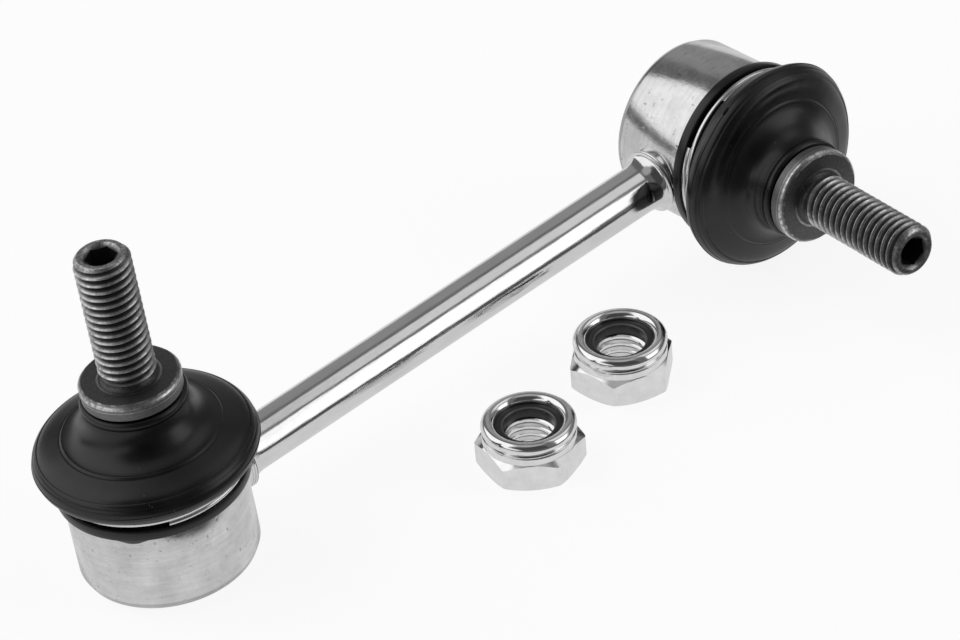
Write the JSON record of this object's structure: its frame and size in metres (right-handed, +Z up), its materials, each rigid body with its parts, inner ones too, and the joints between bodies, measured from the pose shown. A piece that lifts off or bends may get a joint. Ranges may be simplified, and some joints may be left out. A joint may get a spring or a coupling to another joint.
{
  "type": "stabilizer link",
  "caption": "Stabilizer bar drop link: a straight rod with a booted ball joint at each end, studs at a right angle, and loose self-locking nuts for the studs.",
  "frame": {"origin": "on the floor under the middle of the part's box, with the link lying at rest on its left housing and its right boot", "axes": "+X along the rod from the left joint to the right one, +Y to the back, away from the right stud, +Z up"},
  "size_m": [0.1728, 0.0744, 0.0652],
  "materials": {
    "zinc_rod": "bright zinc plated bar, nearly smooth",
    "zinc_housing": "satin zinc plate with small pits and a mottled sheen",
    "phosphated_steel": "dark phosphated steel with bright thread crests",
    "boot_rubber": "satin black moulded rubber",
    "seat_plastic": "natural acetal",
    "spring_wire": "bright spring steel wire",
    "ring_steel": "plain steel band",
    "zinc_nut": "bright zinc plate",
    "nut_nylon": "black nylon"
  },
  "bodies": {
    "link": {"link_rod": "zinc_rod", "left_weld": "zinc_housing", "left_housing": "zinc_housing", "left_end_cap": "zinc_housing", "left_ball_seat": "seat_plastic", "left_clamp_ring": "spring_wire", "right_weld": "zinc_housing", "right_housing": "zinc_housing", "right_end_cap": "zinc_housing", "right_ball_seat": "seat_plastic", "right_clamp_ring": "spring_wire"},
    "left_boot": {"left_boot": "boot_rubber"},
    "left_neck_ring": {"left_neck_ring": "ring_steel"},
    "left_stud": {"left_ball_stud": "phosphated_steel"},
    "right_boot": {"right_boot": "boot_rubber"},
    "right_neck_ring": {"right_neck_ring": "ring_steel"},
    "right_stud": {"right_ball_stud": "phosphated_steel"},
    "near_nut": {"near_nut": "zinc_nut", "near_nut_insert": "nut_nylon"},
    "far_nut": {"far_nut": "zinc_nut", "far_nut_insert": "nut_nylon"}
  },
  "joints": [
    {"name": "left_swing_a", "type": "hinge", "parent": "link", "child": "left_boot", "pos_m": [-0.06599, 0.01691, 0.01108], "axis": [0.9983, 0, 0.0591], "range_deg": [-18, 18], "deforming": ["left_boot"]},
    {"name": "left_swing_b", "type": "hinge", "parent": "left_boot", "child": "left_neck_ring", "pos_m": [-0.06599, 0.01691, 0.01108], "axis": [0.0031, 0.9986, -0.0522], "range_deg": [-18, 18], "deforming": ["left_boot"]},
    {"name": "left_spin", "type": "hinge", "parent": "left_neck_ring", "child": "left_stud", "pos_m": [-0.06599, 0.01691, 0.01108], "axis": [-0.059, 0.0523, 0.9969], "continuous": true},
    {"name": "right_swing_a", "type": "hinge", "parent": "link", "child": "right_boot", "pos_m": [0.06678, 0.01691, 0.01894], "axis": [0.9983, 0, 0.0591], "range_deg": [-18, 18], "deforming": ["right_boot"]},
    {"name": "right_swing_b", "type": "hinge", "parent": "right_boot", "child": "right_neck_ring", "pos_m": [0.06678, 0.01691, 0.01894], "axis": [-0.059, 0.0523, 0.9969], "range_deg": [-14.4, 21.6], "deforming": ["right_boot"]},
    {"name": "right_spin", "type": "hinge", "parent": "right_neck_ring", "child": "right_stud", "pos_m": [0.06678, 0.01691, 0.01894], "axis": [-0.0658, -0.9967, 0.0484], "continuous": true},
    {"name": "near_nut_lift", "type": "slide", "parent": "link", "child": "near_nut", "axis": [0, 0, 1], "range_m": [0, 0.08]},
    {"name": "far_nut_lift", "type": "slide", "parent": "link", "child": "far_nut", "axis": [0, 0, 1], "range_m": [0, 0.08]}
  ]
}
